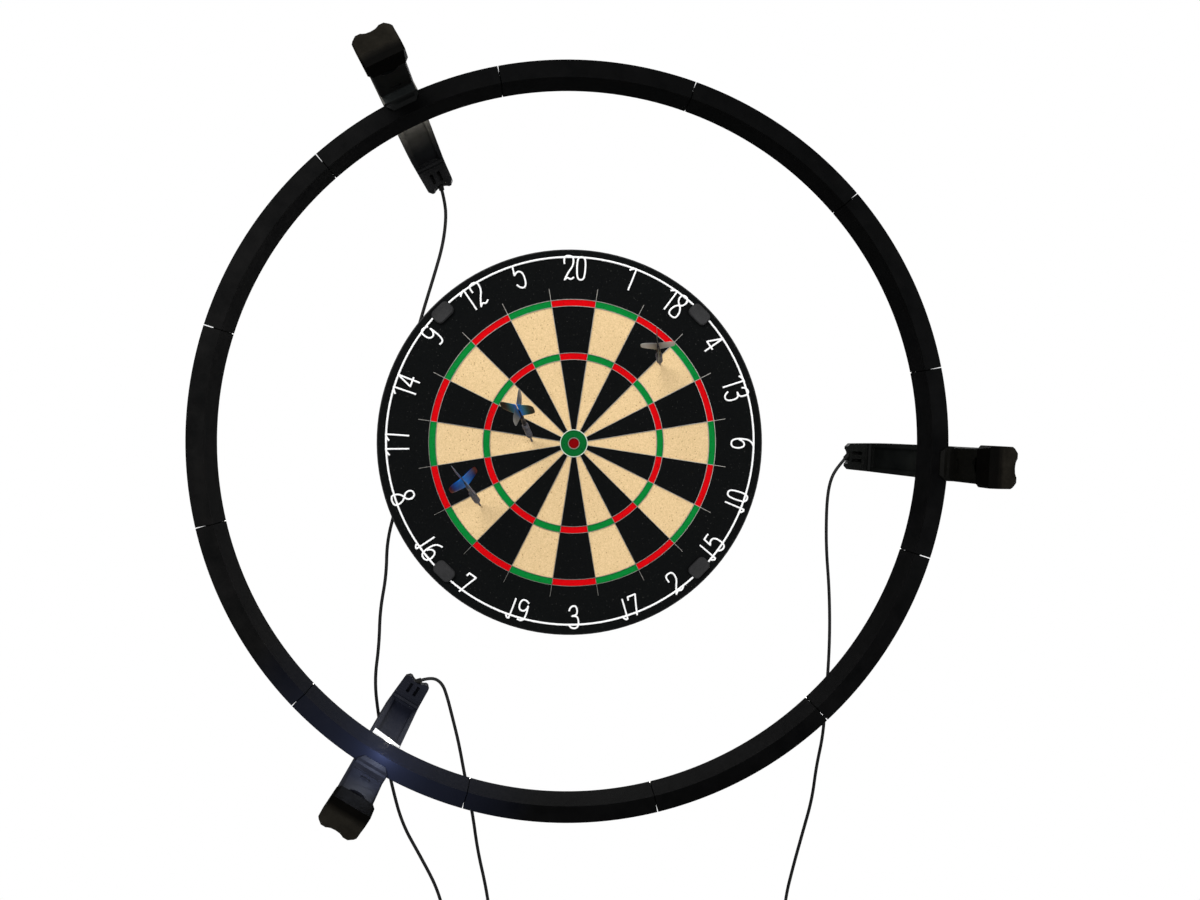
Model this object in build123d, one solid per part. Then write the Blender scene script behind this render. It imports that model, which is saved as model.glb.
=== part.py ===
from build123d import *
import math
import os

# Camera scoring ring round a wall-hung bristle dartboard, with three darts.
# Millimetres. X right, Z up, the room is on the -Y side. The origin lies on the wall, on the board's axis.
# "depth" is the distance from the wall, so a point at depth d has y = -d.

# ---- driving dimensions ------------------------------------------------------------------------
BOARD_R = 228.5                 # 18 inch board, 457 mm across
BOARD_SHIFT = -1.6              # the wires sit a little off the board's middle
BOARD_BACK, BOARD_FACE = 14.0, 52.0
BACKBOARD_THICK = 9.0
BAND_THICK = 1.2                # metal band round the sisal

BULL_R, OUTER_BULL_R = 6.35, 15.9
TREBLE_R = (99.0, 107.0)
DOUBLE_R = (162.0, 170.0)
SECTORS = 20
WIRE_OVERHANG = 14.0            # radial wires run past the double ring
WIRE_WIDTH, WIRE_HEIGHT = 0.6, 1.1

NUMBER_RING_R, NUMBER_WIRE = 217.6, 2.4
NUMBER_SHIFT = (-1.4, 1.7)      # the lift-off ring hangs this far off the axis, x and z
WIRE_OFF = 0.3                  # the number wire and its clips stand this far off the face
CLIP_LEG_R = 1.0
CLIP_SIZE = (26.0, 17.0, 5.0)   # along the ring, across it, off the board
CLIP_ANGLES = (45.0, 135.0, 225.0, 315.0)

RING_R = 401.2                  # light ring, outside
RING_WIDTH = 18.2               # its front face
RING_FRONT = 174.0              # depth of the front face
RING_WALL = 40.0                # inner wall, up to the slanted strip face
STRIP_FACE = 14.0               # the strip face slants this far out and back
RING_GAP = 1.0                  # between segments
SEGMENTS = 12
RING_TURN = 12.0                # angle of the first joint

STRIP_WIDTH, STRIP_THICK = 10.0, 0.8
CHIP, CHIP_THICK = 5.0, 1.6
CHIP_STEP = 2.5                 # degrees between light chips
LOOSE_END = (234.4, 239.4)      # the strip's free end peels off the ring between these angles
LOOSE_DEPTH = 128.0
LOOSE_CHIP = (383.7, 237.4)     # radius and angle of the one light chip on it

ARM_ANGLES = {"a": 117.0, "b": -3.0, "c": 237.0}
EXIT_TURNS = {"a": -13.0, "b": 51.0, "c": -41.0}   # cable leaves the foot turned this far from the arm
ARM_WIDTH = 38.0
FOOT_END, FOOT_THICK = 347.0, 12.0
FOOT_STEP = 374.0               # the foot plate ends and the post rises
POST_BACK = 392.0               # outer side of the post, at the wall
POST_BACK_TOP = 434.0           # and at the ring's front
NOTCH_CLEAR = 0.3
RECESS = (20.0, 112.0, 6.0)     # shallow panel in the post's inner face: from, to, width of the rails beside it
FOOT_SLOTS = (359.0, 4.7)       # two blind slots in the foot: radius on the board, distance to the side
FOOT_SLOT = (12.0, 7.0, 4.0)
PAD_RECESS = (352.0, 386.0, 30.0, 0.8)   # for the adhesive pad under the foot: from, to, width, depth
WIREWAY_FOOT, WIREWAY_TOP, WIREWAY_R = 384.0, 416.0, 3.0
CABLE_EXIT = 6.0                # depth at which the cable leaves the foot
SLEEVE_R = 3.2
HOOK_SCREW = (420.0, 12.0)      # two screws hold each hook plate: radius on the board, distance to the side
SCREW_R, SCREW_HEAD_R, SCREW_HEAD = 1.2, 2.9, 2.0

HOOK_LIP = 391.4                # the hook over the ring's front reaches in to here
HOOK_THICK, HOOK_WIDTH = 5.8, 35.0
HOOK_LOW = RING_FRONT + 0.2
NECK_LOW = HOOK_LOW + HOOK_THICK
NECK_LEAN = 5.0                 # degrees
NECK_WIDTH, NECK_WALL = 37.6, 2.4
NECK_TOP = 251.0
HOOD_WIDTH, HOOD_TIP, HOOD_TOP = 43.0, 443.0, 255.0
HOOD_LOW = 210.0                # the hood's cavity starts below its rim
HOOD_EDGE = 232.5               # depth of the visor's edge
HOOD_REACH = 4.7                # the visor's edge lies this far inside the neck
HOOD_GAP = 0.3
HEAD_OUT = {"a": 2.2, "b": -1.2, "c": 0.8}   # each head's own shift outward on its hook plate
LENS_HOLE_R, LENS_DEPTH = 10.5, 228.0
LENS_BARREL_R = 6.0
PILL_DEPTH = 190.0              # oval mark on the neck

CABLE_D = 4.0
COIL_LAYERS = (3.0, 7.0)        # depths of the coil's layers: the cable arrives in one and leaves in the other
COILS = {                       # centre x, centre z, innermost and outermost turn, side where the cable comes in
    "a": (-185.5, -620.0, 14.0, 26.0, 1),
    "b": (240.0, -633.0, 13.0, 29.0, 1),
    "c": (-72.5, -622.0, 11.0, 31.0, -1),
}
PLUG_TAIL = 26.0                # cable between coil and plug

DARTS = {                       # x, z where the point meets the board; sideways and upward tilt, vane turn in degrees
    "1": (-49.4, 2.9, -6.9, 16.5, -8.0),
    "2": (-110.8, -72.4, -4.6, 16.5, 42.0),
    "3": (103.0, 94.2, -9.2, 5.0, 3.0),
}
POINT_R, POINT_SUNK, POINT_LENGTH = 1.15, 12.0, 18.0
BARREL_R, BARREL_LENGTH = 3.7, 52.0
STEM_R, STEM_LENGTH = 2.2, 52.0
FLIGHT_START, FLIGHT_LENGTH, FLIGHT_HALF = 32.0, 42.0, 18.0

RUNNING = 0.05                  # radial clearance where something turns or slides

WALL = Plane(origin=(0, 0, 0), x_dir=(1, 0, 0), z_dir=(0, -1, 0))


# ---- helpers -----------------------------------------------------------------------------------
def save(name, *solids):
    """Writes one node. Several solids stay separate in it."""
    shape = solids[0] if len(solids) == 1 else Compound(children=[Compound(s.solids()) for s in solids])
    export_step(shape, f"parts/{name}.step")


def disc(radius, low, high, hole=0.0):
    """A round plate on the board's axis between two depths."""
    face = Circle(radius) - Circle(hole) if hole else Circle(radius)
    return extrude(WALL.offset(low) * face, high - low)


def prism(points, width):
    """An outline in (radius, depth), extruded across the arm."""
    face = make_face(Polyline(*[(r, -d) for r, d in points], close=True))
    return Pos(0, 0, -width / 2) * extrude(face, width)


def plan(points, low, high):
    """An outline in (radius, across), extruded from one depth to another."""
    return extrude(WALL.offset(low) * make_face(Polyline(*points, close=True)), high - low)


def hoop(points, start, end):
    """A section in (radius, depth) turned about the board's axis from one angle to another."""
    face = make_face(Polyline(*[(r, -d) for r, d in points], close=True))
    return Rot(0, -end, 0) * revolve(face, Axis.Y, end - start)


def place(shape, angle):
    """Turns something built along +X to its angle round the board."""
    return Rot(0, -angle, 0) * shape


def along(origin, direction, across=(0, 1, 0)):
    """A plane at origin whose z runs along direction."""
    return Plane(origin=origin, x_dir=Vector(*across).cross(Vector(*direction)), z_dir=direction)


def rod(start, end, radius):
    """A cylinder from one point to another."""
    run = Vector(*end) - Vector(*start)
    across = (0, 1, 0) if abs(run.normalized().Y) < 0.9 else (1, 0, 0)
    return extrude(along(start, tuple(run.normalized()), across) * Circle(radius), run.length)


# ---- board -------------------------------------------------------------------------------------
def dart_axis(dart):
    x, z, side, up, _ = DARTS[dart]
    run = Vector(math.tan(math.radians(side)), -1, math.tan(math.radians(up))).normalized()
    return Vector(x, -BOARD_FACE, z), run


def on_number_ring(shape):
    """Shifts something built round the axis to where the number ring hangs."""
    return Pos(NUMBER_SHIFT[0], 0, NUMBER_SHIFT[1]) * shape


def clip_places():
    return [(NUMBER_RING_R - 2.5, angle) for angle in CLIP_ANGLES]


def clip_legs(radius):
    """The two legs of every clip, 9 mm into the sisal."""
    legs = []
    for r, angle in clip_places():
        for across in (-6.0, 6.0):
            leg = rod((r - 4.5, -BOARD_FACE + 9, across), (r - 4.5, -BOARD_FACE, across), radius)
            legs.append(on_number_ring(place(leg, angle)))
    return legs


def sisal():
    core = Pos(BOARD_SHIFT, 0, 0) * disc(BOARD_R - BAND_THICK, BOARD_BACK + BACKBOARD_THICK, BOARD_FACE)
    for dart in DARTS:
        tip, run = dart_axis(dart)
        core -= rod(tuple(tip - run * (POINT_SUNK + 1)), tuple(tip + run * 2), POINT_R + RUNNING)
    for leg in clip_legs(CLIP_LEG_R + RUNNING):
        core -= leg
    return core


def spider():
    """The wire frame on the face: twenty blades and four hoops."""
    low, high = BOARD_FACE, BOARD_FACE + WIRE_HEIGHT
    frame = None
    for radius in TREBLE_R + DOUBLE_R:
        wire = disc(radius + WIRE_WIDTH / 2, low, high, radius - WIRE_WIDTH / 2)
        frame = wire if frame is None else frame + wire
    reach = DOUBLE_R[1] + WIRE_OVERHANG
    start = OUTER_BULL_R + WIRE_WIDTH
    for k in range(SECTORS):
        blade = Pos((start + reach) / 2, -(low + high) / 2, 0) * Box(reach - start, WIRE_HEIGHT, WIRE_WIDTH)
        frame += place(blade, (k + 0.5) * 360 / SECTORS)
    return frame


def bull_wires():
    high = BOARD_FACE + WIRE_HEIGHT + 0.6
    outer = disc(OUTER_BULL_R + WIRE_WIDTH - 0.1, BOARD_FACE, high, OUTER_BULL_R - 0.3)
    inner = disc(BULL_R + 0.7, BOARD_FACE, high, BULL_R - 0.3)
    return outer, inner


def number_ring():
    centre = Pos(NUMBER_RING_R, -BOARD_FACE - NUMBER_WIRE / 2 - WIRE_OFF)
    return on_number_ring(revolve(Plane.XY * centre * Circle(NUMBER_WIRE / 2), Axis.Y, 360))


def number_ring_clips():
    """Four rounded clips over the number wire, each with two legs in the sisal."""
    length, width, thick = CLIP_SIZE
    groove = NUMBER_WIRE / 2 + 0.3
    wire_centre = Pos(NUMBER_RING_R, -BOARD_FACE - NUMBER_WIRE / 2 - WIRE_OFF)
    legs = clip_legs(CLIP_LEG_R)
    clips = []
    for index, (r, angle) in enumerate(clip_places()):
        block = Pos(r - 1, -BOARD_FACE - WIRE_OFF - thick / 2, 0) * Box(width, thick, length)
        block = fillet(block.edges().filter_by(Axis.Y), 6.0)
        block = chamfer(block.faces().sort_by(Axis.Y)[0].edges(), 1.2)
        block -= Rot(0, -8, 0) * revolve(Plane.XY * wire_centre * Circle(groove), Axis.Y, 16)
        block -= Pos(NUMBER_RING_R, -BOARD_FACE - WIRE_OFF, 0) * Box(2 * groove, NUMBER_WIRE, length + 2)
        clip = on_number_ring(place(block, angle))
        for leg in legs[2 * index:2 * index + 2]:
            foot = leg.faces().sort_by(Axis.Y)[0]
            clip += leg + extrude(foot, 1.0, dir=(0, -1, 0))
        clips.append(clip)
    return clips


def centre_bolt():
    """A shouldered bolt: its head hangs in the bracket and its shank is screwed into the board."""
    head = disc(9.0, 2.5, 7.0)
    shank = disc(4.0, 7.0, BOARD_BACK)
    thread = disc(3.0, BOARD_BACK, BOARD_BACK + BACKBOARD_THICK)
    return head + shank + thread


def wall_bracket():
    """A bent steel plate with two flat wings on the wall and a raised middle with an open slot."""
    steel, rise, height = 2.0, 10.0, 44.0
    outline = [(-50, 0), (-26, 0), (-22, rise - steel), (22, rise - steel), (26, 0), (50, 0),
               (50, steel), (27.5, steel), (23.5, rise), (-23.5, rise), (-27.5, steel), (-50, steel)]
    face = make_face(Polyline(*[(x, -d) for x, d in outline], close=True))
    plate = Pos(0, 0, -height / 2) * extrude(face, height)
    plate -= disc(4.0 + 0.06, 0, 20)
    plate -= Pos(0, -10, 15) * Box(2 * 4.06, 10, 30)
    for x in (-38.0, 38.0):
        for z in (-14.0, 14.0):
            plate -= Pos(x, -1, z) * Rot(90, 0, 0) * Cylinder(2.5, 6)
    return plate


def levelling_feet():
    """Three rubber buttons behind the board that keep it parallel to the wall."""
    feet = []
    for angle in (90.0, 210.0, 330.0):
        button = extrude(WALL.offset(0.3) * Pos(150, 0) * Circle(9), BOARD_BACK - 0.3)
        feet.append(place(chamfer(button.faces().sort_by(Axis.Y)[-1].edges(), 1.5), angle))
    return feet


# ---- darts -------------------------------------------------------------------------------------
def dart_turned(dart, outline):
    """A half outline in (radius, distance from the board face), turned about the dart's axis."""
    tip, run = dart_axis(dart)
    face = make_face(Polyline(*outline, close=True))
    return along(tuple(tip), tuple(run), (0, 0, 1)) * Rot(90, 0, 0) * revolve(face, Axis.Y, 360)


def dart_barrel(dart):
    """Steel point and grooved barrel."""
    p, b, end = POINT_LENGTH, BARREL_R, POINT_LENGTH + BARREL_LENGTH
    outline = [(0, -POINT_SUNK), (POINT_R, -POINT_SUNK + 4), (POINT_R, p), (2.2, p), (b, p + 8)]
    for k in range(10):
        at = p + 12 + 3.2 * k
        outline += [(b, at), (b - 0.45, at + 0.4), (b - 0.45, at + 1.2), (b, at + 1.6)]
    outline += [(b, end - 4), (2.6, end), (0, end)]
    return dart_turned(dart, outline)


def dart_flight(dart):
    """Stem and four thin vanes."""
    start = POINT_LENGTH + BARREL_LENGTH
    end = start + STEM_LENGTH
    stem = dart_turned(dart, [(0, start), (2.6, start), (STEM_R, start + 5), (STEM_R, end - 3), (1.2, end), (0, end)])
    at = start + FLIGHT_START
    shape = [(-1.6, at), (FLIGHT_HALF - 3, at + 16), (FLIGHT_HALF, at + 22), (FLIGHT_HALF, at + FLIGHT_LENGTH - 3),
             (FLIGHT_HALF - 4, at + FLIGHT_LENGTH), (-1.6, at + FLIGHT_LENGTH - 4)]
    vane = Pos(0, 0, -0.4) * extrude(make_face(Polyline(*shape, close=True)), 0.8)
    tip, run = dart_axis(dart)
    for k in range(4):
        stem += along(tuple(tip), tuple(run), (0, 0, 1)) * Rot(90, 0, 0) * Rot(0, DARTS[dart][4] + 90 * k, 0) * vane
    return stem


# ---- light ring --------------------------------------------------------------------------------
def ring_section():
    inner, back = RING_R - RING_WIDTH, RING_FRONT - RING_WALL
    edge = RING_R - RING_WIDTH + STRIP_FACE
    return [(inner, RING_FRONT), (RING_R - 0.8, RING_FRONT), (RING_R, RING_FRONT - 0.8),
            (RING_R, back - STRIP_FACE), (edge, back - STRIP_FACE), (inner, back)]


def tongue(grow, reach, angle):
    """The joint's tongue, or with grow its socket, from angle onwards."""
    inner, outer, low, high = RING_R - 14.0, RING_R - 3.5, 138.0, 155.0
    section = [(inner - grow, low - grow), (outer + grow, low - grow), (outer + grow, high + grow),
               (inner - grow, high + grow)]
    return hoop(section, angle - 0.3, angle + reach)


def ring_segment(index):
    step = 360 / SEGMENTS
    gap = math.degrees(RING_GAP / RING_R) / 2
    start = RING_TURN + index * step
    body = hoop(ring_section(), start + gap, start + step - gap)
    body -= tongue(0.25, 1.6, start)
    return body + tongue(0.0, 1.4, start + step - gap)


def strip_point(across, off):
    """A point of the slanted strip face: distance across it from its middle, and off it."""
    middle = (RING_R - RING_WIDTH + STRIP_FACE / 2, RING_FRONT - RING_WALL - STRIP_FACE / 2)
    s = math.sqrt(0.5)
    return middle[0] + s * (across - off), middle[1] - s * (across + off)


def loose_end():
    """The end of the light strip that has come off the ring and lies flat, facing the room."""
    low, high = LOOSE_END
    corners = [(379.2, low), (382.6, high), (388.0, high), (388.0, low)]
    points = [(r * math.cos(math.radians(a)), r * math.sin(math.radians(a))) for r, a in corners]
    return extrude(WALL.offset(LOOSE_DEPTH) * make_face(Polyline(*points, close=True)), STRIP_THICK)


def led_strip():
    half = STRIP_WIDTH / 2
    section = [strip_point(-half, 0), strip_point(half, 0), strip_point(half, STRIP_THICK),
               strip_point(-half, STRIP_THICK)]
    return hoop(section, LOOSE_END[1] + 3 - 360, LOOSE_END[0] - 0.4), loose_end()


def led_chips():
    half = CHIP / 2
    low, high = STRIP_THICK + 0.02, STRIP_THICK + CHIP_THICK
    box = [strip_point(-half, low), strip_point(half, low), strip_point(half, high), strip_point(-half, high)]
    chip = prism(box, CHIP)
    count = int((360 - (LOOSE_END[1] - LOOSE_END[0]) - 6) / CHIP_STEP)
    chips = [place(chip, LOOSE_END[0] - 2 - k * CHIP_STEP) for k in range(count)]
    flat = Pos(LOOSE_CHIP[0], -LOOSE_DEPTH - STRIP_THICK - CHIP_THICK / 2, 0) * Box(CHIP, CHIP_THICK, CHIP)
    return chips + [place(flat, LOOSE_CHIP[1])]


# ---- camera arms -------------------------------------------------------------------------------
def notched_end(end, half, bevel, outward):
    """Plan outline of an arm's tip: two bevelled lobes and a shallow hollow between them."""
    s = 1 if outward else -1
    hollow = [(end - s * dip, z) for dip, z in ((1.2, 8.0), (2.6, 5.0), (3.2, 0.0), (2.6, -5.0), (1.2, -8.0))]
    side = [(end - s * bevel, half), (end, half - bevel), (end, 9.5)]
    return side + hollow + [(r, -z) for r, z in side[::-1]]


def lean(depth):
    """Radius of the neck's inner face at a depth."""
    return RING_R + 3.0 + math.tan(math.radians(NECK_LEAN)) * (depth - RING_FRONT - 6)


def post_outline():
    """Side outline: foot plate, leaning post, and a notch that the ring sits in."""
    back = RING_FRONT - RING_WALL - STRIP_FACE - NOTCH_CLEAR
    top = RING_FRONT + 0.2
    return [(FOOT_END, 0), (FOOT_END, FOOT_THICK - 1), (FOOT_END + 1, FOOT_THICK), (FOOT_STEP - 2, FOOT_THICK + 2),
            (FOOT_STEP - 2, FOOT_THICK + 5), (FOOT_STEP + 1, FOOT_THICK + 6), (RING_R - 3, back),
            (RING_R + NOTCH_CLEAR, back), (RING_R + NOTCH_CLEAR, top), (POST_BACK_TOP, top), (POST_BACK, 0)]


def post_face(depth):
    """Radius of the post's inner face at a depth."""
    low, high = FOOT_THICK + 6, RING_FRONT - RING_WALL - STRIP_FACE - NOTCH_CLEAR
    return FOOT_STEP + 1 + (depth - low) * (RING_R - 4 - FOOT_STEP) / (high - low)


def post_plan():
    half = ARM_WIDTH / 2
    tip = notched_end(FOOT_END, half - 2.5, 4.0, False)
    sides = [(POST_BACK_TOP + 5, -half), (RING_R - 3, -half), (FOOT_STEP, -half + 1.2)]
    return sides + tip[::-1] + [(r, -z) for r, z in sides[::-1]]


def exit_line(arm, start, end):
    """The cable's first stretch in the arm's own frame, as two points either side of the exit."""
    turn = math.radians(180 + EXIT_TURNS[arm])
    x, z = math.cos(turn), math.sin(turn)
    middle = FOOT_END + 2.0
    return (middle + x * start, -CABLE_EXIT, z * start), (middle + x * end, -CABLE_EXIT, z * end)


def arm_post(arm):
    post = prism(post_outline(), ARM_WIDTH) & plan(post_plan(), -1, RING_FRONT + 10)
    low, high, rail = RECESS
    foot, head = post_face(low), post_face(high)
    post -= prism([(foot - 4, low), (foot + 3, low), (head + 3, high), (head - 4, high)], ARM_WIDTH - 2 * rail)
    for across in (-FOOT_SLOTS[1], FOOT_SLOTS[1]):
        post -= Pos(FOOT_SLOTS[0], -FOOT_THICK + 1.5, across) * Box(*FOOT_SLOT)
    post -= pad_block(0.0)
    bend = WIREWAY_FOOT - 2
    post -= rod((FOOT_END + 4, -CABLE_EXIT, 0), (WIREWAY_FOOT, -CABLE_EXIT, 0), CABLE_D / 2 + 0.4)
    post -= rod((bend, -CABLE_EXIT + 2, 0), (WIREWAY_TOP, -RING_FRONT - 2, 0), WIREWAY_R)
    post -= rod(*exit_line(arm, -5.0, 12.0), SLEEVE_R + 0.1)
    for across in (-HOOK_SCREW[1], HOOK_SCREW[1]):
        at = (HOOK_SCREW[0], -RING_FRONT + 8, across), (HOOK_SCREW[0], -RING_FRONT - 2, across)
        post -= rod(*at, SCREW_R + RUNNING)
    return post


def pad_block(inset):
    """The adhesive pad under the foot, or with no inset its recess."""
    start, end, width, thick = PAD_RECESS
    middle = Pos((start + end) / 2, -(thick - inset) / 2, 0)
    return middle * Box(end - start - 2 * inset, thick - inset, width - 2 * inset)


def grommet(arm):
    """Rubber sleeve round the cable where it leaves the foot."""
    start, end = exit_line(arm, -4.0, 4.0)
    return rod(start, end, SLEEVE_R) - rod(start, end, CABLE_D / 2)


def ring_hook():
    """Plate between post and camera housing whose lip hooks over the ring's front."""
    low, high = HOOK_LOW, HOOK_LOW + HOOK_THICK
    half = HOOK_WIDTH / 2
    outline = [(HOOK_LIP, low), (HOOK_LIP, low + 1.4), (HOOK_LIP + 3.6, low + 3.6), (HOOK_LIP + 6.6, low + 3.6),
               (HOOK_LIP + 8.4, high), (POST_BACK_TOP, high), (POST_BACK_TOP, low)]
    shape = [(HOOK_LIP, half - 5), (HOOK_LIP + 5, half), (POST_BACK_TOP, half), (POST_BACK_TOP, -half),
             (HOOK_LIP + 5, -half), (HOOK_LIP, -half + 5)]
    hook = prism(outline, HOOK_WIDTH) & plan(shape, low - 1, high + 1)
    hook -= rod((WIREWAY_TOP, -low + 1, 0), (WIREWAY_TOP, -high - 1, 0), WIREWAY_R + 0.4)
    r, side = HOOK_SCREW
    for across in (-side, side):
        hook -= rod((r, -low + 1, across), (r, -high - 1, across), SCREW_R + 0.4)
        hook -= rod((r, -high + SCREW_HEAD + 0.2, across), (r, -high - 1, across), SCREW_HEAD_R + 0.2)
    return hook


def hook_screws():
    screws = []
    r, side = HOOK_SCREW
    seat = -HOOK_LOW - HOOK_THICK + SCREW_HEAD + 0.2
    for across in (-side, side):
        shank = rod((r, -RING_FRONT + 7, across), (r, seat, across), SCREW_R)
        screws.append(shank + rod((r, seat, across), (r, seat - SCREW_HEAD, across), SCREW_HEAD_R))
    return screws


def neck_outline():
    return [(lean(NECK_LOW), NECK_LOW), (lean(NECK_TOP), NECK_TOP), (417.2, NECK_TOP - 0.6), (435.8, 239.6),
            (POST_BACK_TOP, NECK_LOW)]


def camera_housing():
    """The neck: a square tube with a lens hole, a bead round its base and an oval dimple."""
    low, w = NECK_LOW, NECK_WALL
    solid = prism(neck_outline(), NECK_WIDTH)
    solid = fillet([e for e in solid.edges() if e.length > 50 and abs(e.center().Z) > 1], 3.0)
    outer = POST_BACK_TOP + 0.9
    bead = [(lean(low) - 0.9, low), (lean(low) - 0.9, low + 1.2), (outer, low + 1.2), (outer, low)]
    base = chamfer(prism(bead, NECK_WIDTH - 0.4).edges().filter_by(Axis.Y), 3.0)
    cavity = [(lean(low) + w, low - 1), (lean(NECK_TOP) + w, NECK_TOP + 3), (418.0, NECK_TOP + 3), (433.4, 240.6),
              (433.4, 236.0), (POST_BACK_TOP - w, low - 1)]
    shell = solid + base - prism(cavity, NECK_WIDTH - 2 * w)
    shell -= rod((397.0, -LENS_DEPTH, 0), (417.0, -LENS_DEPTH, 0), LENS_HOLE_R)
    pill = Plane(origin=(lean(PILL_DEPTH) - 1, -PILL_DEPTH, 0), x_dir=(0, 1, 0), z_dir=(1, 0, 0))
    return shell - extrude(pill * SlotOverall(12.0, 6.0, rotation=90), 2.0)


def hood_outline():
    rise = math.tan(math.radians(NECK_LEAN)) * (HOOD_TOP - HOOD_EDGE)
    inner = lean(HOOD_EDGE) - HOOD_REACH
    return [(inner, HOOD_EDGE), (inner + rise, HOOD_TOP), (418.0, HOOD_TOP - 0.9), (HOOD_TIP, 240.4), (440.8, 220.0)]


def camera_hood():
    """The cap over the neck's end. Its inner edge shades the lens."""
    half, gap = HOOD_WIDTH / 2, HOOD_GAP
    tip = notched_end(HOOD_TIP, half, 6.5, True)
    edge = lean(HOOD_EDGE) - HOOD_REACH
    shape = [(edge, -half + 4), (edge + 4, -half)] + tip[::-1] + [(edge + 4, half), (edge, half - 4)]
    cap = prism(hood_outline(), HOOD_WIDTH) & plan(shape, HOOD_LOW - 10, HOOD_TOP + 10)
    front = [e for e in cap.edges() if abs(abs(e.center().Z) - half) < 0.01 and -e.center().Y > HOOD_TOP - 10]
    cap = chamfer(front, 1.8)
    cavity = [(lean(HOOD_LOW) - gap, HOOD_LOW), (lean(NECK_TOP) - gap, NECK_TOP + gap),
              (417.3, NECK_TOP - 0.4 + gap), (436.3, 240.0), (435.6, HOOD_LOW)]
    return cap - prism(cavity, NECK_WIDTH + 2 * gap)


# The camera looks from its lens hole to the bull.
LENS_TIP = (412.5, LENS_DEPTH + 1.0)
LOOK = Vector(-LENS_TIP[0], LENS_TIP[1] - BOARD_FACE, 0).normalized()


def on_lens_axis(distance):
    """A plane across the lens axis, this far behind the lens tip, facing the board."""
    at = Vector(LENS_TIP[0], -LENS_TIP[1], 0) - LOOK * distance
    return Plane(origin=tuple(at), x_dir=(0, 0, 1), z_dir=tuple(LOOK))


def camera_board():
    """Circuit board, lens holder and cable socket."""
    back, thick = 14.5, 1.6
    board = extrude(on_lens_axis(back) * Rectangle(30.0, 20.0), thick)
    holder = extrude(on_lens_axis(back - thick) * Rectangle(15.0, 15.0), 7.4)
    holder -= extrude(on_lens_axis(11.6) * Circle(LENS_BARREL_R + RUNNING), 9.0)
    socket = extrude(on_lens_axis(back) * Pos(9.0, 0) * Rectangle(7.0, 9.0), -2.6)
    return board + holder + socket


def lens():
    """Lens barrel with a wider, hollow front rim."""
    barrel = extrude(on_lens_axis(11.2) * Circle(LENS_BARREL_R), 7.0)
    rim = extrude(on_lens_axis(4.6) * Circle(7.0), 4.6) - extrude(on_lens_axis(2.5) * Circle(5.2), 4.0)
    return barrel + rim


# ---- cables ------------------------------------------------------------------------------------
# Hand-placed points of each cable as (x, depth, z), from the foot to the top of its coil.
ROUTES = {
    "a": [(-153.7, 6.0, 292.0), (-152.6, 5.0, 272.0), (-157.0, 4.5, 240.0), (-167.5, 4.6, 204.0), (-180.0, 5.2, 164.0),
          (-192.5, 5.6, 120.0), (-200.5, 5.4, 71.0), (-204.5, 4.8, 20.0), (-208.5, 4.4, -32.0), (-216.0, 4.8, -80.0),
          (-226.5, 5.2, -120.0), (-227.5, 5.4, -162.0), (-235.5, 5.0, -204.0), (-237.0, 4.6, -247.0),
          (-243.0, 4.4, -291.0), (-238.5, 4.6, -335.0), (-231.0, 5.2, -379.0), (-222.0, 5.6, -425.0),
          (-210.5, 5.2, -470.0), (-189.0, 4.6, -511.0), (-168.5, 4.4, -552.0), (-159.5, 3.8, -589.0)],
    "b": [(336.0, 6.0, -32.0), (328.0, 5.6, -46.0), (323.8, 5.0, -66.0), (322.3, 4.6, -95.0), (322.6, 4.4, -137.0),
          (326.4, 4.8, -185.0), (327.6, 5.2, -236.0), (325.8, 5.4, -287.0), (322.0, 5.0, -334.0),
          (319.5, 4.6, -375.0), (311.0, 4.4, -414.0), (305.6, 4.8, -456.0), (293.5, 5.2, -498.0),
          (281.5, 5.0, -541.0), (270.8, 4.4, -585.0)],
    "c": [(-172.8, 6.0, -287.7), (-160.4, 5.8, -296.2), (-154.8, 5.2, -313.0), (-149.0, 4.8, -337.0),
          (-140.8, 4.4, -372.0), (-134.0, 4.6, -412.0), (-124.8, 5.2, -457.0), (-118.6, 5.4, -506.0),
          (-108.6, 4.8, -552.0), (-103.0, 4.2, -593.0)],
}


def cable_start(arm):
    """Where the cable comes out of its sleeve, in the whole object's frame."""
    x, y, z = exit_line(arm, 0.0, 4.0)[1]
    turn = math.radians(ARM_ANGLES[arm])
    return x * math.cos(turn) - z * math.sin(turn), y, x * math.sin(turn) + z * math.cos(turn)


def tube(points):
    """Straight runs joined by arcs as large as the runs allow."""
    path = [Vector(*p) for p in points]
    radii = []
    for before, at, after in zip(path, path[1:], path[2:]):
        turn = math.radians((at - before).get_angle(after - at))
        radii.append(0.45 * min((at - before).length, (after - at).length) / math.tan(turn / 2))
    line = FilletPolyline(*path, radius=radii)
    first = (path[1] - path[0]).normalized()
    swept = sweep(Plane(origin=tuple(path[0]), z_dir=tuple(first)) * Circle(CABLE_D / 2), path=line)
    return swept, line, radii


def cable(arm):
    """The hanging stretch, and the short tail between the coil and the plug."""
    x, z, _, outer, side = COILS[arm]
    arrive, leave = COIL_LAYERS
    edge = x + side * outer
    points = [cable_start(arm)] + [(px, -d, pz) for px, d, pz in ROUTES[arm]] + [(edge, -arrive, z)]
    swept, line, radii = tube(points)
    area = math.pi * CABLE_D ** 2 / 4
    print(f"cable {arm}: {line.length:.0f} mm, volume / (area x length) {swept.volume / (area * line.length):.4f}, "
          f"radii {min(radii):.1f} to {max(radii):.0f}: {[round(r) for r in radii]}")
    tail = rod((edge, -leave, z), (edge, -leave, z - outer - PLUG_TAIL), CABLE_D / 2)
    return swept - coil(arm), tail - coil(arm)


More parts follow.
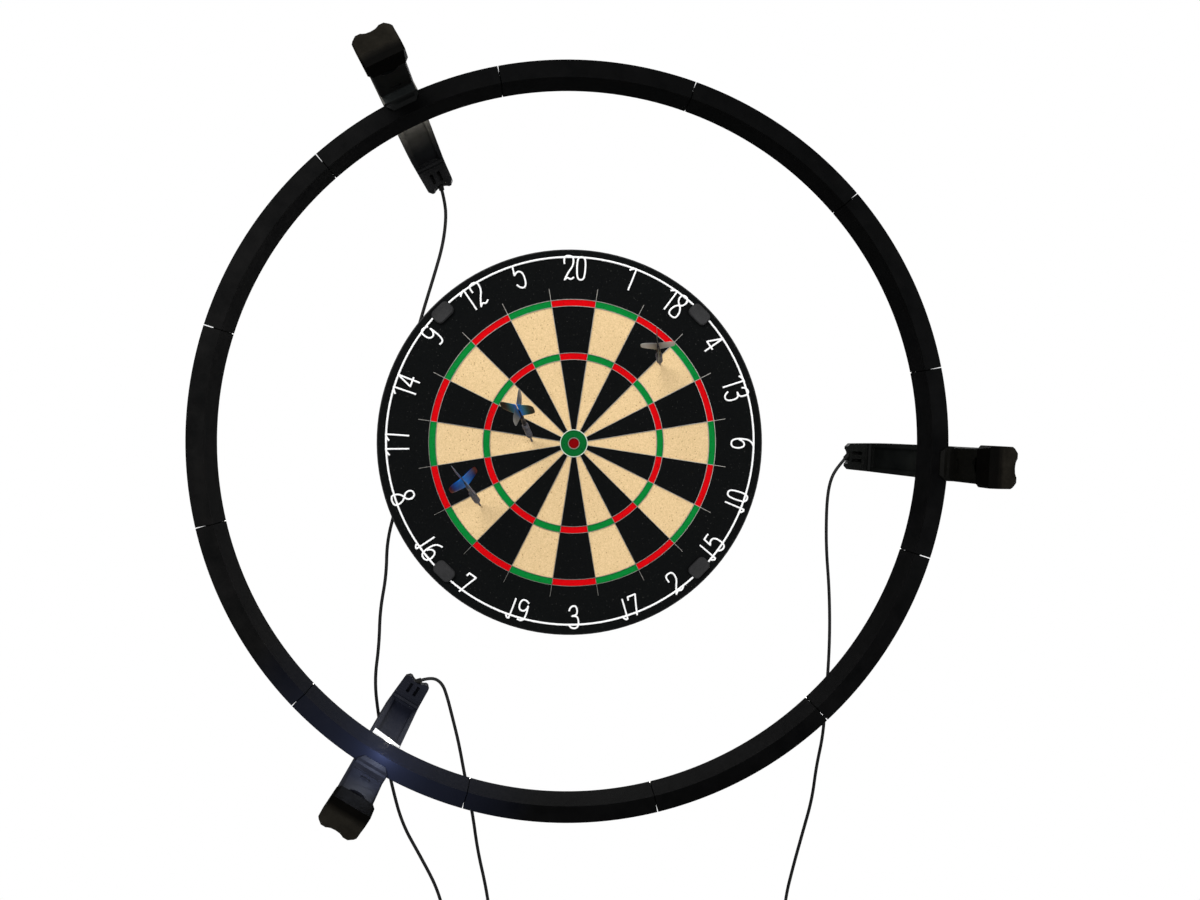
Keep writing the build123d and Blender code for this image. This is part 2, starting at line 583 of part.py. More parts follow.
def coil(arm):
    """The outer shape of the tied coil."""
    x, z, inner, outer, _ = COILS[arm]
    half = CABLE_D / 2
    low, high = COIL_LAYERS[0] - half - 0.2, COIL_LAYERS[1] + half + 0.4
    face = Circle(outer + half) - Circle(inner - half)
    return extrude(WALL.offset(low) * Pos(x, z) * face, high - low)


def usb_plug(arm):
    """Moulded grip and metal shell, hanging below the tail."""
    x, z, _, outer, side = COILS[arm]
    top = Pos(x + side * outer, -COIL_LAYERS[1], z - outer - PLUG_TAIL)
    relief = top * Pos(0, 0, -3) * Cone(3.4, 2.4, 6)
    grip = fillet((top * Pos(0, 0, -18) * Box(16.0, 8.0, 24.0)).edges().filter_by(Axis.Z), 2.5)
    shell = top * Pos(0, 0, -36) * Box(12.0, 4.5, 12.0)
    hollow = top * Pos(0, 0, -37) * Box(11.2, 3.7, 11.0)
    return relief + grip, shell - hollow


# ---- all nodes ---------------------------------------------------------------------------------
def write_board():
    save("wall_bracket", wall_bracket())
    save("centre_bolt", centre_bolt())
    save("levelling_feet", *levelling_feet())
    back, shift = BOARD_BACK + BACKBOARD_THICK, Pos(BOARD_SHIFT, 0, 0)
    save("backboard", shift * disc(BOARD_R - BAND_THICK, BOARD_BACK, back) - disc(3.0, BOARD_BACK - 1, back + 1))
    save("sisal_core", sisal())
    save("board_band", shift * disc(BOARD_R, BOARD_BACK, BOARD_FACE, BOARD_R - BAND_THICK))
    save("spider", spider())
    save("bull_wires", *bull_wires())
    save("number_ring", number_ring())
    save("number_ring_clips", *number_ring_clips())


def write_darts():
    for dart in DARTS:
        save(f"dart_{dart}_barrel", dart_barrel(dart))
        save(f"dart_{dart}_flight", dart_flight(dart))


def write_ring():
    for index in range(SEGMENTS):
        save(f"ring_segment_{index + 1:02d}", ring_segment(index))
    save("led_strip", *led_strip())
    save("led_chips", *led_chips())


def write_arms():
    screws, sleeves, pads = [], [], []
    hook, pad = ring_hook(), pad_block(0.05)
    head = {"camera_housing": camera_housing(), "camera_hood": camera_hood(), "camera_board": camera_board(),
            "camera_lens": lens()}
    for arm, angle in ARM_ANGLES.items():
        save(f"arm_post_{arm}", place(arm_post(arm), angle))
        save(f"ring_hook_{arm}", place(hook, angle))
        for name, shape in head.items():
            save(f"{name}_{arm}", place(Pos(HEAD_OUT[arm], 0, 0) * shape, angle))
        screws += [place(s, angle) for s in hook_screws()]
        sleeves.append(place(grommet(arm), angle))
        pads.append(place(pad, angle))
    save("hook_screws", *screws)
    save("cable_sleeves", *sleeves)
    save("adhesive_pads", *pads)


def write_cables():
    for arm in ARM_ANGLES:
        save(f"cable_{arm}", *cable(arm))
        save(f"cable_coil_{arm}", coil(arm))
        save(f"usb_plug_{arm}", *usb_plug(arm))


os.makedirs("parts", exist_ok=True)
write_board()
write_darts()
write_ring()
write_arms()
write_cables()
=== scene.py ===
import math

import bmesh
import bpy
from mathutils import Euler, Matrix, Vector


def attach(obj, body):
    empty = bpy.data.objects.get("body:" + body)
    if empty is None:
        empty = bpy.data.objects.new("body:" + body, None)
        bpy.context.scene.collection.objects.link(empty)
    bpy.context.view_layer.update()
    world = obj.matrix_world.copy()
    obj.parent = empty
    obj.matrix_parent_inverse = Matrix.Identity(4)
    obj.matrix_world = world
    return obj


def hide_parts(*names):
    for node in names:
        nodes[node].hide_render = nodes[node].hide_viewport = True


# Metres, in the row frame: X right, Z up, the room on the -Y side, the origin on the wall at the board's axis.
# "depth" is the distance from the wall.
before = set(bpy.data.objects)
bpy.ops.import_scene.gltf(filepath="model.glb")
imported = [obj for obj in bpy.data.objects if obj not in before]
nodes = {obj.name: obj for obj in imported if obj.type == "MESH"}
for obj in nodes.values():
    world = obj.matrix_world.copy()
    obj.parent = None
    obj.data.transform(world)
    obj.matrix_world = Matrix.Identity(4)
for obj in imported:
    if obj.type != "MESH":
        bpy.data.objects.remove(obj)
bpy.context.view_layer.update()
MM = 0.001
ARMS = {"a": 117.0, "b": -3.0, "c": 237.0}
DEPTH_SPAN = 0.3                # the depth at which a gradient by depth ends
PRINT_PITCH = 0.00025           # one printed layer
LOOSE_CHIP = (237.4, 383.7, 150.0)      # angle, radius and depth at the strip's loose end
LINE_WAVE = 0.314               # wave texture scale that gives one line per metre
HOOD_FACET_R = (0.4165, 0.4205)         # where a hood's inside of painted shade ends and its slanted outside starts
BULL_WIRE_SPLIT = 0.011         # radius between the inner and the outer bull wire
FLOOR_R, FLOOR_BOTTOM, FLOOR_TOP, FLOOR_STEPS = 1.9, -1.75, -1.73, 96
BACKDROP_GLOW, ROOM_GLOW = 1.0, 0.14    # world strength seen by the camera, and that lights the object


# ---- camera ------------------------------------------------------------------------------------
camera_data = bpy.data.cameras.new("camera")
camera_data.sensor_width = 36.0
camera_data.lens = 27.0
camera_data.clip_start, camera_data.clip_end = 0.05, 50.0
camera = bpy.data.objects.new("camera", camera_data)
camera.location = (-0.050, -1.118, 0.020)
camera.rotation_euler = Euler([math.radians(v) for v in (88.497, 0.086, -4.355)], "XYZ")
bpy.context.scene.collection.objects.link(camera)
bpy.context.scene.camera = camera


# ---- mesh helpers ------------------------------------------------------------------------------
def link(name, data, material=None, smooth=False):
    piece = bpy.data.objects.new(name, data)
    bpy.context.scene.collection.objects.link(piece)
    if material is not None:
        data.materials.append(material)
    if smooth and hasattr(data, "polygons"):
        data.polygons.foreach_set("use_smooth", [True] * len(data.polygons))
    return piece


def mesh_piece(name, vertices, faces, material=None, smooth=False):
    data = bpy.data.meshes.new(name)
    data.from_pydata([tuple(v) for v in vertices], [], faces)
    data.update()
    return link(name, data, material, smooth)


def loft(rings, closed=True):
    """Vertices and faces of a skin over rings of equal size; closed adds a cap at each end."""
    size = len(rings[0])
    vertices = [p for ring in rings for p in ring]
    faces = []
    for k in range(len(rings) - 1):
        for j in range(size):
            n = (j + 1) % size
            faces.append((k * size + j, k * size + n, (k + 1) * size + n, (k + 1) * size + j))
    if closed:
        faces.append(tuple(range(size))[::-1])
        faces.append(tuple((len(rings) - 1) * size + j for j in range(size)))
    return vertices, faces


def lathe(profile, steps=32, closed=True):
    """Rings of a (radius, height) profile about local Z."""
    turn = [2 * math.pi * k / steps for k in range(steps)]
    return loft([[(r * math.cos(t), r * math.sin(t), h) for t in turn] for r, h in profile], closed)


def around(angle, r, depth, across=0.0):
    """A point at radius r and depth, at an angle round the board, shifted sideways."""
    a = math.radians(angle)
    return Vector((r * math.cos(a) - across * math.sin(a), -depth, r * math.sin(a) + across * math.cos(a)))


# ---- material helpers --------------------------------------------------------------------------
class Shader:
    """A Principled material with small helpers for its node tree."""

    def __init__(self, name, rough=0.6, **sockets):
        self.material = bpy.data.materials.new(name)
        self.material.use_nodes = True
        self.tree = self.material.node_tree
        self.bsdf = self.tree.nodes["Principled BSDF"]
        self.bsdf.inputs["Roughness"].default_value = rough
        for key, value in sockets.items():
            self.bsdf.inputs[key.replace("_", " ")].default_value = value
        self.coords = self.node("ShaderNodeTexCoord").outputs["Object"]

    def node(self, kind, inputs=(), **settings):
        made = self.tree.nodes.new(kind)
        for key, value in settings.items():
            setattr(made, key, value)
        for key, value in dict(inputs).items():
            if isinstance(value, bpy.types.NodeSocket):
                self.tree.links.new(value, made.inputs[key])
            else:
                made.inputs[key].default_value = value
        return made

    def noise(self, scale, detail=3.0, rough=0.6, vector=None):
        made = self.node("ShaderNodeTexNoise", {"Scale": scale, "Detail": detail, "Roughness": rough,
                                                "Vector": vector or self.coords})
        return made.outputs["Fac"]

    def ramp(self, factor, *stops):
        made = self.node("ShaderNodeValToRGB", {"Fac": factor})
        band = made.color_ramp
        for element, (at, colour) in zip(band.elements, (stops[0], stops[-1])):
            element.position, element.color = at, (*colour, 1.0)
        for at, colour in stops[1:-1]:
            band.elements.new(at).color = (*colour, 1.0)
        return made.outputs["Color"]

    def mix(self, factor, a, b, blend="MIX"):
        made = self.node("ShaderNodeMix", data_type="RGBA", blend_type=blend)
        for index, value in ((0, factor), (6, a), (7, b)):
            if isinstance(value, bpy.types.NodeSocket):
                self.tree.links.new(value, made.inputs[index])
            else:
                made.inputs[index].default_value = value if index == 0 else (*value, 1.0)
        return made.outputs[2]

    def math(self, operation, *values):
        made = self.node("ShaderNodeMath", dict(enumerate(values)), operation=operation)
        return made.outputs[0]

    def colour(self, socket):
        self.tree.links.new(socket, self.bsdf.inputs["Base Color"])
        return self

    def roughness(self, socket, low, high):
        made = self.node("ShaderNodeMapRange", {"Value": socket, "To Min": low, "To Max": high})
        self.tree.links.new(made.outputs["Result"], self.bsdf.inputs["Roughness"])
        return self

    def bump(self, height, strength, distance):
        made = self.node("ShaderNodeBump", {"Height": height, "Strength": strength, "Distance": distance})
        previous = self.bsdf.inputs["Normal"].links
        if previous:
            self.tree.links.new(previous[0].from_socket, made.inputs["Normal"])
        self.tree.links.new(made.outputs["Normal"], self.bsdf.inputs["Normal"])
        return self

    def layers(self, pitch, strength):
        """Print lines along Y, a pitch apart."""
        wave = self.node("ShaderNodeTexWave", {"Scale": LINE_WAVE / pitch, "Distortion": 0.4, "Detail": 1.0,
                                               "Vector": self.coords}, bands_direction="Y")
        return self.bump(wave.outputs["Fac"], strength, pitch * 0.4)

    def off_axis(self):
        """Distance from the board's axis."""
        x, _, z = self.node("ShaderNodeSeparateXYZ", {"Vector": self.coords}).outputs
        return self.math("SQRT", self.math("ADD", self.math("MULTIPLY", x, x), self.math("MULTIPLY", z, z)))


def bristle(name, dark, light, speck, amount):
    """Compressed sisal ends: fine fibre grain, soft mottling and a few specks."""
    s = Shader(name, 0.92, Specular_IOR_Level=0.015)
    fine = s.noise(620.0, 7.0, 0.85)
    grain = s.ramp(fine, (0.3, dark), (0.7, light))
    mottle = s.noise(260.0, 5.0, 0.7)
    toned = s.mix(s.math("MULTIPLY", mottle, 0.55), grain, dark, "MIX")
    cells = s.node("ShaderNodeTexVoronoi", {"Scale": 330.0, "Vector": s.coords, "Randomness": 1.0})
    near = s.math("LESS_THAN", cells.outputs["Distance"], 0.28)
    rare = s.math("LESS_THAN", s.noise(700.0, 2.0, 0.5), amount)
    s.colour(s.mix(s.math("MULTIPLY", near, rare), toned, speck))
    return s.bump(fine, 0.35, 0.0004).bump(mottle, 0.2, 0.0008).material


def printed(name, dark, light, rough=(0.4, 0.55), specular=0.1, painted_light_by_depth=(), inner=False, graded=False,
            lit=False):
    """Black plastic laid down in layers, with faint sheen patches and dust in the lines.
    The depth stops are (depth in mm, factor) pairs of painted light and shade, for parts that grow lighter or darker
    away from the wall.
    inner darkens what lies inside the slanted fronts of the hoods with painted shade.
    graded makes it lighter towards the left, which imitates one room's light and isn't a property of the plastic.
    lit adds a bluish bloom round the bare light chip of the strip's loose end, an imitation of its glare."""
    s = Shader(name, 0.6, Specular_IOR_Level=specular)
    patch = s.noise(38.0, 6.0, 0.65)
    dust = s.noise(2600.0, 2.0, 0.6)
    tone = s.ramp(patch, (0.32, dark), (0.7, light))
    tone = s.mix(s.math("MULTIPLY", s.math("GREATER_THAN", dust, 0.66), 0.35), tone,
                 tuple(min(1.0, 2.6 * c + 0.002) for c in light))
    # painted light and shade: the colour is multiplied by a factor that changes with depth from the wall
    if painted_light_by_depth:
        y = s.node("ShaderNodeSeparateXYZ", {"Vector": s.coords}).outputs["Y"]
        shade = s.ramp(s.math("MULTIPLY", y, -1 / DEPTH_SPAN), *[(d * MM / DEPTH_SPAN, c) for d, c in painted_light_by_depth])
        tone = s.mix(1.0, tone, shade, "MULTIPLY")
    # painted shade: inside the slanted front of a hood the colour drops to a tenth
    if inner:
        inside, outside = HOOD_FACET_R
        tone = s.mix(1.0, tone, s.ramp(s.off_axis(), (inside, (0.1, 0.1, 0.1)), (outside, (1, 1, 1))), "MULTIPLY")
    if graded:
        x = s.node("ShaderNodeSeparateXYZ", {"Vector": s.coords}).outputs["X"]
        across = s.math("ADD", x, 0.5)
        tone = s.mix(1.0, tone, s.ramp(across, (0.12, (1.9, 1.85, 1.75)), (0.35, (0.75, 0.75, 0.75)),
                                       (0.62, (0.6, 0.6, 0.6)), (0.9, (0.95, 0.95, 0.95))), "MULTIPLY")
    if lit:
        away = s.node("ShaderNodeVectorMath", {0: s.coords, 1: around(*LOOSE_CHIP) * MM}, operation="DISTANCE")
        bloom = s.ramp(away.outputs["Value"], (0.01, (1, 1, 1)), (0.06, (0.45, 0.45, 0.45)), (0.17, (0, 0, 0)))
        tone = s.mix(bloom, tone, (0.013, 0.016, 0.032))
    s.colour(tone)
    s.roughness(s.noise(120.0, 4.0, 0.6), *rough)
    return s.bump(dust, 0.25, 0.0002).layers(PRINT_PITCH, 0.35).material


def wire_metal(name, dark, light, rough=(0.25, 0.5)):
    s = Shader(name, 0.35, Metallic=1.0)
    streak = s.noise(420.0, 4.0, 0.7)
    s.colour(s.ramp(streak, (0.25, dark), (0.75, light)))
    return s.roughness(streak, *rough).bump(streak, 0.1, 0.0001).material


def moulded(name, dark, light, scale=900.0, rough=(0.45, 0.65), specular=0.4, strength=0.2):
    """Plain plastic, rubber or enamel with a fine pebble."""
    s = Shader(name, 0.55, Specular_IOR_Level=specular)
    grain = s.noise(scale, 3.0, 0.6)
    s.colour(s.mix(0.5, s.ramp(s.noise(60.0, 4.0), (0.3, dark), (0.7, light)),
                   s.ramp(grain, (0.3, dark), (0.7, light))))
    return s.roughness(grain, *rough).bump(grain, strength, 0.00025).material


BLACK_SISAL = bristle("black_sisal", (0.0022, 0.0026, 0.0027), (0.0075, 0.008, 0.0082), (0.03, 0.03, 0.028), 0.36)
CREAM_SISAL = bristle("cream_sisal", (0.5, 0.34, 0.16), (0.96, 0.73, 0.43), (0.36, 0.22, 0.1), 0.42)
RED_SISAL = bristle("red_sisal", (0.46, 0.001, 0.003), (0.74, 0.003, 0.006), (0.24, 0.004, 0.004), 0.42)
GREEN_SISAL = bristle("green_sisal", (0.002, 0.14, 0.022), (0.004, 0.25, 0.042), (0.002, 0.07, 0.02), 0.42)
BULL_RED = bristle("bull_red_sisal", (0.16, 0.001, 0.002), (0.26, 0.002, 0.004), (0.08, 0.004, 0.004), 0.42)
BULL_GREEN = bristle("bull_green_sisal", (0.002, 0.08, 0.015), (0.004, 0.15, 0.03), (0.002, 0.05, 0.015), 0.42)
RAW_SISAL = bristle("raw_sisal", (0.01, 0.009, 0.009), (0.03, 0.027, 0.024), (0.07, 0.06, 0.045), 0.5)
RING_PRINT = printed("ring_print", (0.0011, 0.0012, 0.0013), (0.0034, 0.0034, 0.0035), (0.5, 0.62), 0.02, graded=True,
                     lit=True)
# Each copy is darker near the wall, where the ring shades it, and lighter towards the ring; on arm c it is tinted
# blue by the glare.
# Painted light and shade: each arm's post has its own copy of the black print, toned for the light it gets.
POST_PRINT_PAINTED_LIGHT = {
    "a": printed("post_print_painted_light_a", (0.07, 0.067, 0.059), (0.16, 0.152, 0.135), painted_light_by_depth=(
        (0, (0.035, 0.037, 0.042)), (22, (0.04, 0.045, 0.06)), (45, (0.05, 0.055, 0.07)), (75, (0.3, 0.3, 0.3)),
        (112, (1.9, 1.9, 1.9)))),
    "b": printed("post_print_painted_light_b", (0.0022, 0.0027, 0.0025), (0.0072, 0.0082, 0.0074), specular=0.08, painted_light_by_depth=(
        (0, (0.5, 0.5, 0.5)), (60, (0.7, 0.7, 0.7)), (120, (1.2, 1.2, 1.2)))),
    "c": printed("post_print_painted_light_c", (0.008, 0.009, 0.014), (0.022, 0.024, 0.036), lit=True, painted_light_by_depth=(
        (0, (0.25, 0.25, 0.25)), (50, (0.6, 0.6, 0.66)), (110, (1.35, 1.35, 1.4)))),
}
# Painted highlight: a thin bright line, up to eight times lighter, along the bead at the housing's base, 180.3 to
# 181.2 mm from the wall.
NECK_BEAD_HIGHLIGHT = ((0, (1, 1, 1)), (180.0, (1, 1, 1)), (180.3, (8, 8, 8)), (181.2, (7, 7, 7)), (181.6, (1, 1, 1)))
# Arm c is tinted blue by the loose strip end's glare, and it darkens with painted shade from 200 to 235 mm from the
# wall.
# Painted light and shade: each arm's neck and housing have their own copy of the print. Arm a carries the painted
# bead highlight.
NECK_PRINT_PAINTED_LIGHT = {
    "a": printed("neck_print_painted_light_a", (0.0014, 0.0017, 0.0017), (0.0042, 0.0048, 0.0047), painted_light_by_depth=NECK_BEAD_HIGHLIGHT),
    "b": printed("neck_print_painted_light_b", (0.0014, 0.0014, 0.0011), (0.0042, 0.0042, 0.0034), specular=0.06),
    "c": printed("neck_print_painted_light_c", (0.009, 0.01, 0.0155), (0.019, 0.021, 0.031), painted_light_by_depth=(
        (0, (1, 1, 1)), (200, (1, 1, 1)), (235, (0.15, 0.15, 0.15)))),
}
# Painted light and shade: the hood's brownish tone stands in for warm room light on its slanted outside, and its
# inside is darkened with painted shade.
HOOD_PRINT_PAINTED_SHADE = printed("hood_print_painted_shade", (0.0055, 0.0048, 0.0036), (0.016, 0.014, 0.0105), (0.55, 0.7), 0.02,
                     inner=True)
ZINC = wire_metal("zinc_steel", (0.42, 0.43, 0.45), (0.72, 0.73, 0.75))
SPIDER_WIRE = wire_metal("spider_wire", (0.2, 0.19, 0.17), (0.42, 0.41, 0.38), (0.3, 0.45))
WHITE_WIRE = moulded("white_wire", (0.86, 0.86, 0.86), (0.97, 0.97, 0.97), 700.0, (0.3, 0.42), 0.5, 0.08)
BAND = moulded("black_band", (0.006, 0.006, 0.006), (0.012, 0.012, 0.012), 500.0, (0.4, 0.55), 0.25)
CLIP_GREY = moulded("clip_grey", (0.012, 0.012, 0.0125), (0.032, 0.032, 0.033), 700.0, (0.6, 0.8), 0.15, 0.5)
BLACK_RUBBER = moulded("black_rubber", (0.003, 0.003, 0.003), (0.008, 0.0076, 0.0072), 1500.0, (0.6, 0.8), 0.15)
CABLE_BLACK = moulded("cable_black", (0.002, 0.002, 0.0022), (0.005, 0.005, 0.0052), 1800.0, (0.42, 0.55), 0.2, 0.12)
FOAM_PAD = moulded("foam_pad", (0.5, 0.5, 0.46), (0.72, 0.72, 0.68), 500.0, (0.8, 0.95), 0.1, 0.5)
FIBRE_BOARD = moulded("fibre_board", (0.24, 0.15, 0.08), (0.42, 0.29, 0.17), 420.0, (0.7, 0.9), 0.2, 0.4)
STRIP_FILM = moulded("strip_film", (0.8, 0.8, 0.78), (0.95, 0.95, 0.93), 900.0, (0.35, 0.5))
SCREEN_GREEN = moulded("board_green", (0.006, 0.06, 0.03), (0.012, 0.11, 0.055), 600.0, (0.25, 0.4), 0.5)
LENS_BLACK = moulded("lens_black", (0.006, 0.006, 0.007), (0.012, 0.012, 0.013), 1300.0, (0.2, 0.35), 0.6, 0.1)
SCREW_STEEL = wire_metal("screw_steel", (0.3, 0.3, 0.3), (0.55, 0.55, 0.55))
# The dart barrels: a non-metal whose lighter mottle is painted glint, standing in for the steel's reflections.
DART_STEEL_PAINTED_GLINTS = moulded("dart_steel_painted_glints", (0.002, 0.002, 0.005), (0.2, 0.2, 0.23), 420.0, (0.3, 0.45), 0.03, 0.3)
PLUG_METAL = wire_metal("plug_metal", (0.62, 0.62, 0.63), (0.82, 0.82, 0.83), (0.18, 0.3))


def bull_wire():
    """Pale enamel on the outer hoop, dull grey on the inner one."""
    s = Shader("bull_wire", 0.4, Specular_IOR_Level=0.3)
    radius = s.off_axis()
    grain = s.noise(900.0)
    inner, outer = s.ramp(grain, (0.3, (0.1, 0.1, 0.08)), (0.7, (0.24, 0.23, 0.2))), s.ramp(
        grain, (0.3, (0.5, 0.6, 0.5)), (0.7, (0.72, 0.8, 0.7)))
    s.colour(s.mix(s.math("GREATER_THAN", radius, BULL_WIRE_SPLIT), inner, outer))
    return s.roughness(grain, 0.3, 0.5).material


BULL_WIRE = bull_wire()


def light_chip():
    s = Shader("light_chip", 0.35, Emission_Strength=9.0, Emission_Color=(1.0, 0.97, 0.9, 1.0))
    return s.colour(s.ramp(s.noise(500.0), (0.3, (0.9, 0.85, 0.6)), (0.7, (1.0, 0.96, 0.75)))).material


LIGHT_CHIP = light_chip()


def paint(material, *names):
    for name in names:
        data = nodes[name].data
        data.materials.clear()
        data.materials.append(material)


SEGMENTS = [f"ring_segment_{k:02d}" for k in range(1, 13)]
paint(ZINC, "wall_bracket", "centre_bolt")
paint(BLACK_RUBBER, "levelling_feet", "cable_sleeves")
paint(FOAM_PAD, "adhesive_pads")
paint(FIBRE_BOARD, "backboard")
paint(BAND, "board_band")
paint(SPIDER_WIRE, "spider")
paint(BULL_WIRE, "bull_wires")
paint(WHITE_WIRE, "number_ring")
paint(CLIP_GREY, "number_ring_clips")
paint(RING_PRINT, *SEGMENTS)
paint(STRIP_FILM, "led_strip")
paint(LIGHT_CHIP, "led_chips")
paint(SCREW_STEEL, "hook_screws")
paint(DART_STEEL_PAINTED_GLINTS, *[f"dart_{d}_barrel" for d in "123"])
for arm in ARMS:
    paint(POST_PRINT_PAINTED_LIGHT[arm], f"arm_post_{arm}")
    paint(NECK_PRINT_PAINTED_LIGHT[arm], f"ring_hook_{arm}", f"camera_housing_{arm}")
    paint(HOOD_PRINT_PAINTED_SHADE, f"camera_hood_{arm}")
    paint(SCREEN_GREEN, f"camera_board_{arm}")
    paint(LENS_BLACK, f"camera_lens_{arm}")


# ---- cables ------------------------------------------------------------------------------------
CABLE_D = 4.0
LAYER_LOW, LAYER_HIGH = 3.0, 7.0
PLUG_TAIL = 26.0
TURN_POINTS = 16
COILS = {                       # centre x, centre z, innermost and outermost turn, side where the cable comes in
    "a": (-185.5, -620.0, 14.0, 26.0, 1),
    "b": (240.0, -633.0, 13.0, 29.0, 1),
    "c": (-72.5, -622.0, 11.0, 31.0, -1),
}
# Each route's points are (x, depth, z) in millimetres, from the foot to the top of its coil.
ROUTES = {
    "a": [(-157.5, 6.0, 307.1), (-153.7, 6.0, 292.0), (-152.6, 5.0, 272.0), (-157.0, 4.5, 240.0),
          (-167.5, 4.6, 204.0), (-180.0, 5.2, 164.0), (-192.5, 5.6, 120.0), (-200.5, 5.4, 71.0),
          (-204.5, 4.8, 20.0), (-208.5, 4.4, -32.0), (-216.0, 4.8, -80.0), (-226.5, 5.2, -120.0),
          (-227.5, 5.4, -162.0), (-235.5, 5.0, -204.0), (-237.0, 4.6, -247.0), (-243.0, 4.4, -291.0),
          (-238.5, 4.6, -335.0), (-231.0, 5.2, -379.0), (-222.0, 5.6, -425.0), (-210.5, 5.2, -470.0),
          (-189.0, 4.6, -511.0), (-168.5, 4.4, -552.0), (-159.5, 3.8, -589.0)],
    "b": [(345.8, 6.0, -21.2), (336.0, 6.0, -32.0), (328.0, 5.6, -46.0), (323.8, 5.0, -66.0), (322.3, 4.6, -95.0),
          (322.6, 4.4, -137.0), (326.4, 4.8, -185.0), (327.6, 5.2, -236.0), (325.8, 5.4, -287.0),
          (322.0, 5.0, -334.0), (319.5, 4.6, -375.0), (311.0, 4.4, -414.0), (305.6, 4.8, -456.0),
          (293.5, 5.2, -498.0), (281.5, 5.0, -541.0), (270.8, 4.4, -585.0)],
    "c": [(-186.2, 6.0, -291.6), (-172.8, 6.0, -287.7), (-160.4, 5.8, -296.2), (-154.8, 5.2, -313.0),
          (-149.0, 4.8, -337.0), (-140.8, 4.4, -372.0), (-134.0, 4.6, -412.0), (-124.8, 5.2, -457.0),
          (-118.6, 5.4, -506.0), (-108.6, 4.8, -552.0), (-103.0, 4.2, -593.0)],
}


def eased(value, low, high):
    """0 before low, 1 after high, smooth between."""
    t = min(1.0, max(0.0, (value - low) / (high - low)))
    return t * t * (3 - 2 * t)


def coil_points(arm):
    """Two flat layers of turns: outer to inner near the wall, then inner to outer over them."""
    x, z, inner, outer, side = COILS[arm]
    turns = round((outer - inner) / CABLE_D) + 1
    points = []
    for k in range(2 * turns * TURN_POINTS + 1):
        turn, part = divmod(k / TURN_POINTS, 1.0)
        if turn < turns:
            r = outer - CABLE_D * (min(turn, turns - 1) + (eased(part, 0.75, 1.0) if turn < turns - 1 else 0.0))
            depth = LAYER_LOW + (LAYER_HIGH - LAYER_LOW) * (eased(part, 0.5, 0.75) if turn == turns - 1 else 0.0)
        else:
            r = min(outer, inner + CABLE_D * (turn - turns + eased(part, 0.25, 0.5)))
            depth = LAYER_HIGH
        phi = 2 * math.pi * (k / TURN_POINTS) * -side + (0.0 if side > 0 else math.pi)
        points.append((x + r * math.cos(phi), depth, z + r * math.sin(phi)))
    return points


def cable(arm):
    x, z, _, outer, side = COILS[arm]
    edge = x + side * outer
    tail = [(edge, LAYER_HIGH, z - drop) for drop in (14.0, outer, outer + PLUG_TAIL + 1.0)]
    route = ROUTES[arm] + coil_points(arm) + tail
    curve = bpy.data.curves.new(f"cable_run_{arm}", "CURVE")
    curve.dimensions = "3D"
    curve.bevel_depth, curve.bevel_resolution, curve.use_fill_caps = CABLE_D / 2 * MM, 4, True
    spline = curve.splines.new("NURBS")
    spline.points.add(len(route) - 1)
    for point, (px, depth, pz) in zip(spline.points, route):
        point.co = (px * MM, -depth * MM, pz * MM, 1.0)
    spline.order_u, spline.use_endpoint_u, spline.resolution_u = 3, True, 6
    piece = link(f"cable_run_{arm}", curve, CABLE_BLACK)
    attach(piece, "base")
    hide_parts(f"cable_{arm}", f"cable_coil_{arm}")
    return piece


def rounded_outline(half_x, half_y, radius, steps=4):
    corners = ((1, 1, 0), (-1, 1, 90), (-1, -1, 180), (1, -1, 270))
    points = []
    for sx, sy, start in corners:
        for k in range(steps + 1):
            t = math.radians(start + 90 * k / steps)
            points.append((sx * (half_x - radius) + radius * math.cos(t),
                           sy * (half_y - radius) + radius * math.sin(t)))
    return points


def coil_tie(arm, turn):
    """A strap round the coil's bundle."""
    x, z, inner, outer, _ = COILS[arm]
    middle, half = (inner + outer) / 2, (outer - inner) / 2 + CABLE_D / 2
    phi = math.radians(turn)
    radial, along = Vector((math.cos(phi), 0, math.sin(phi))), Vector((-math.sin(phi), 0, math.cos(phi)))
    centre = Vector((x, -(LAYER_LOW + LAYER_HIGH) / 2, z)) + radial * middle
    rings = []
    for grow, width in ((0.2, 4.5), (0.8, 4.5), (0.8, -4.5), (0.2, -4.5)):
        outline = rounded_outline(half + grow, 4.0 + grow, 2.4)
        rings.append([(centre + radial * u + Vector((0, -v, 0)) + along * width) * MM for u, v in outline])
    vertices, faces = loft(rings + [rings[0]], closed=False)
    piece = mesh_piece(f"coil_tie_{arm}", vertices, faces, BLACK_RUBBER, smooth=True)
    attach(piece, "base")
    return piece


